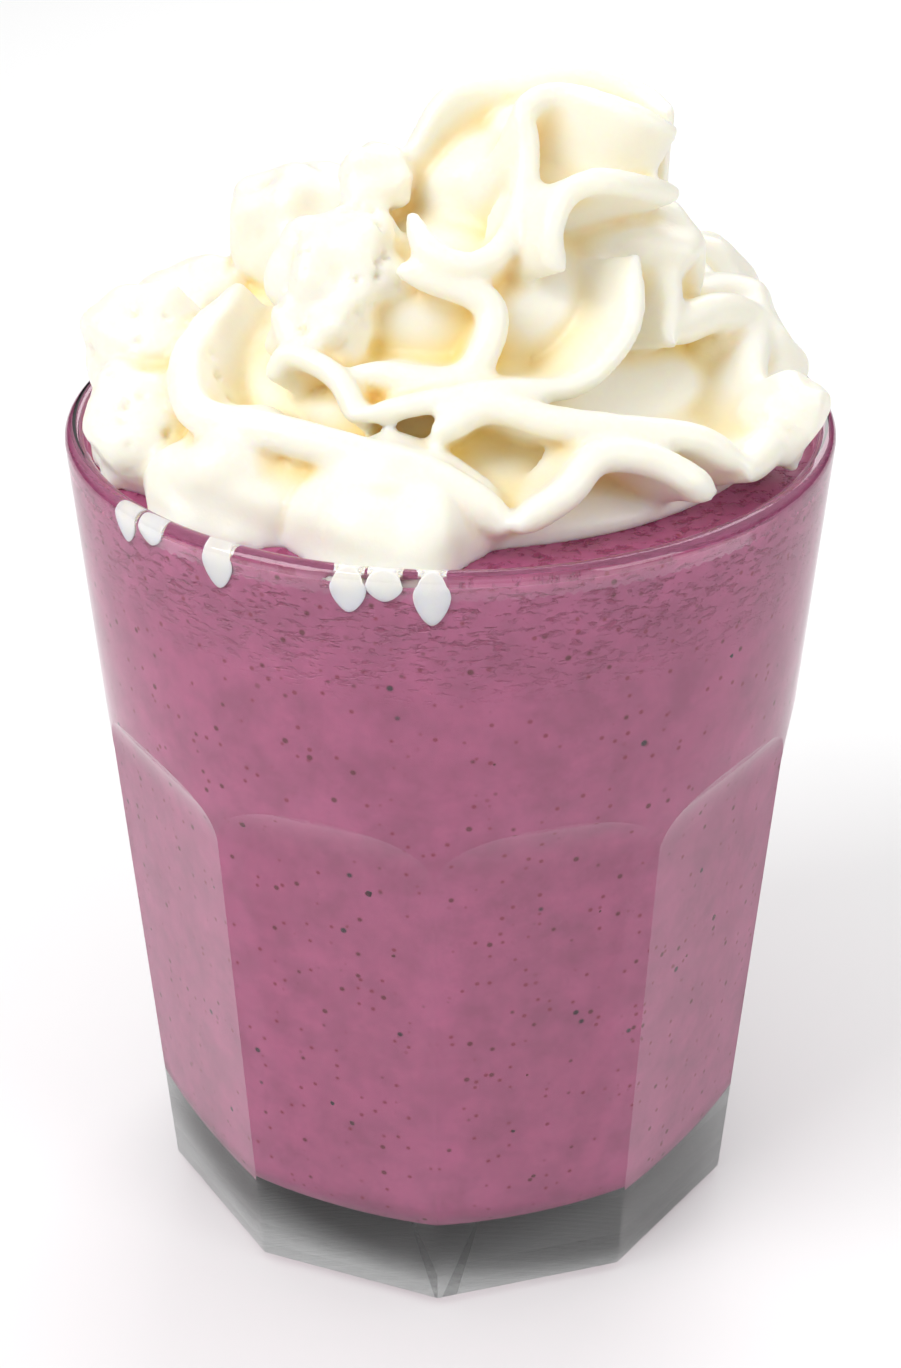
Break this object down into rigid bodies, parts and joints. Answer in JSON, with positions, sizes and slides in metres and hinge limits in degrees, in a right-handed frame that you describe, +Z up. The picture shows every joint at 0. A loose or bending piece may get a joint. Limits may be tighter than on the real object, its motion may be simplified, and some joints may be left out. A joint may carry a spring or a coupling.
{
  "type": "berry smoothie",
  "caption": "Berry smoothie in a clear faceted tumbler, filled almost to the rim under a tall piped swirl of whipped cream.",
  "frame": {"origin": "centre of the tumbler's flat foot, on the surface it stands on", "axes": "+Z up along the tumbler's axis, -Y towards the viewer of the picture"},
  "size_m": [0.089, 0.089, 0.142],
  "materials": {
    "clear_glass": "clear, polished",
    "smoothie": "thick opaque pink drink with fine dark red specks",
    "cream": "soft whipped cream, faintly yellow in its folds"
  },
  "bodies": {
    "root": {"glass": "clear_glass", "smoothie": "smoothie", "whipped_cream": "cream"}
  },
  "joints": []
}
